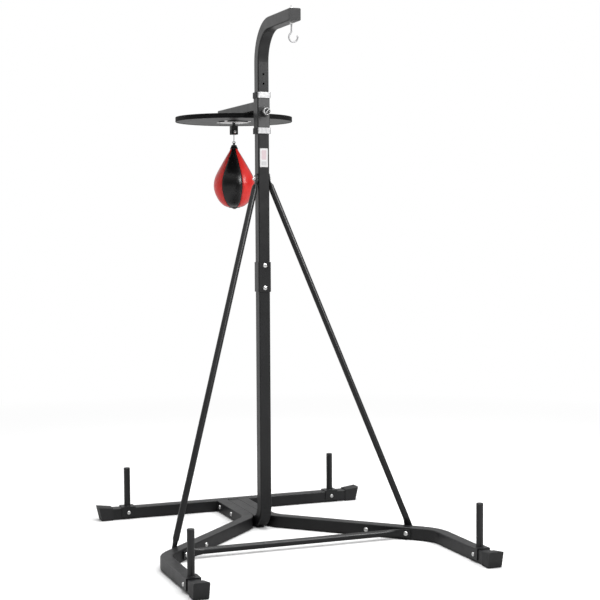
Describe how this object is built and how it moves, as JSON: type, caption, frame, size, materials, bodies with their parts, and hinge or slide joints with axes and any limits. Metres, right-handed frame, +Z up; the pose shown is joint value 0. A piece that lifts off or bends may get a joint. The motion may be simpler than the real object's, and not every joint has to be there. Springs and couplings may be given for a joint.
{
  "type": "speed bag platform stand",
  "caption": "Free-standing boxing stand: braced square mast on a splayed base, forward hook arm, sliding round rebound drum, swivel and pear-shaped speed bag.",
  "frame": {"origin": "On the floor, at the middle of the whole stand's footprint (bounding box bottom centre). The mast axis stands 176.4 mm behind it, at y = +0.17638.", "axes": "+Z up, -Y to the front (hook arm and open legs), +Y to the drum and bag, +X to the right seen from the front; metres."},
  "size_m": [1.2704, 1.6338, 2.212],
  "materials": {
    "frame_black": "satin black powder coat",
    "zinc": "bright zinc plating",
    "bright_steel": "polished plated steel",
    "black_rubber": "matt moulded rubber",
    "black_plastic": "moulded nylon",
    "white_nylon": "natural nylon",
    "drum_black": "gloss black laminate",
    "edge_black": "ribbed edge band",
    "label_white": "blank film",
    "leather": "gloss leather, red and black gores",
    "leather_black": "gloss black leather",
    "bladder_rubber": "latex"
  },
  "bodies": {
    "stand": {"rear_beam": "frame_black", "left_leg_rear": "frame_black", "right_leg_rear": "frame_black", "left_leg_front": "frame_black", "right_leg_front": "frame_black", "left_leg_connector": "frame_black", "right_leg_connector": "frame_black", "lower_mast": "frame_black", "upper_mast": "frame_black", "mast_sleeve": "frame_black", "left_brace": "frame_black", "right_brace": "frame_black", "front_crossbar": "frame_black", "weight_peg_rear_left": "frame_black", "weight_peg_rear_right": "frame_black", "weight_peg_front_left": "frame_black", "weight_peg_front_right": "frame_black", "peg_plugs": "black_plastic", "foot_cap_rear_right": "black_rubber", "foot_cap_rear_left": "black_rubber", "foot_cap_front_right": "black_rubber", "foot_cap_front_left": "black_rubber", "hub_bolts": "zinc", "sleeve_bolts": "zinc", "leg_splice_bolts": "zinc", "brace_foot_bolts": "zinc", "brace_top_bolt": "zinc", "frame_lock_nuts": "zinc", "peg_bolts": "zinc", "peg_lock_nuts": "zinc", "arm_end_plug": "black_plastic", "blank_plate": "label_white"},
    "carriage_unit": {"carriage": "frame_black", "carriage_arm_plug": "black_plastic", "upper_collar": "bright_steel", "lower_collar": "bright_steel", "upper_slide_liner": "white_nylon", "lower_slide_liner": "white_nylon", "drum_board": "drum_black", "drum_rim": "edge_black", "drum_bolts": "zinc", "drum_nuts": "zinc", "plunger_housing": "black_plastic", "plunger_spring": "bright_steel", "swivel_plate": "zinc", "swivel_screws": "zinc", "swivel_spindle": "zinc", "thrust_balls": "bright_steel"},
    "height_plunger": {"plunger_pin": "zinc", "plunger_knob": "bright_steel", "plunger_knob_cap": "black_plastic"},
    "swivel_unit": {"swivel_fork": "frame_black", "fork_pin": "zinc", "fork_nut": "zinc"},
    "bag_unit": {"bag_link": "bright_steel", "bag_cover": "leather", "bag_bladder": "bladder_rubber", "bag_neck_loop": "leather_black"},
    "hook_unit": {"heavy_bag_hook": "bright_steel", "hook_nuts": "zinc"}
  },
  "joints": [
    {"name": "carriage_height", "type": "slide", "parent": "stand", "child": "carriage_unit", "axis": [0, 0, 1], "range_m": [0, 0.12]},
    {"name": "plunger_travel", "type": "slide", "parent": "carriage_unit", "child": "height_plunger", "axis": [0, -1, 0], "range_m": [-0.009, 0]},
    {"name": "bag_swivel", "type": "hinge", "parent": "carriage_unit", "child": "swivel_unit", "pos_m": [0, 0.55188, 1.772], "axis": [0, 0, 1], "continuous": true},
    {"name": "bag_swing", "type": "hinge", "parent": "swivel_unit", "child": "bag_unit", "pos_m": [0, 0.55188, 1.751], "axis": [0, 1, 0], "range_deg": [-70, 70]},
    {"name": "hook_turn", "type": "hinge", "parent": "stand", "child": "hook_unit", "pos_m": [0, -0.18662, 2.172], "axis": [0, 0, 1], "continuous": true}
  ]
}
